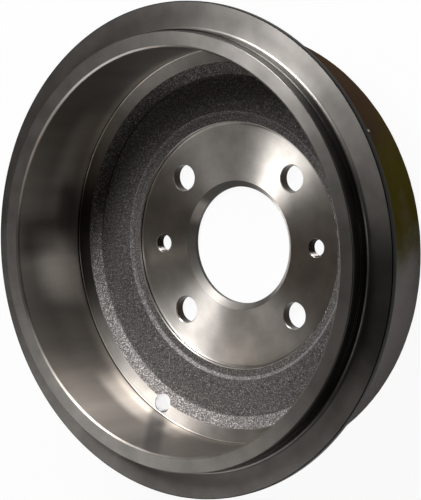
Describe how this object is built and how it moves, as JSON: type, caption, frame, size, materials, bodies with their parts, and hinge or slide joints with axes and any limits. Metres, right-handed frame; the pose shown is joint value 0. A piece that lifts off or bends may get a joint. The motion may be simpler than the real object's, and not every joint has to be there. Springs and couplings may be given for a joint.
{
  "type": "brake drum",
  "caption": "Flanged rear brake drum, turned inside, with a bored hub plate for wheel bolts and threaded jacking holes.",
  "frame": {"origin": "centre of the wheel mounting face on the outside of the hub plate, where the axle's line meets it; the drum lies on this face", "axes": "+Z along the axle towards the open end; +X through the middle of one threaded hole, so that the bolt holes are at 45 degrees to X and Y"},
  "size_m": [0.2486, 0.2486, 0.0626],
  "materials": {
    "cast_iron": "grey iron: turned bright on the friction band, lip, flange and hub faces, as cast on the web and the outside"
  },
  "bodies": {
    "root": {"brake_drum": "cast_iron"}
  },
  "joints": []
}
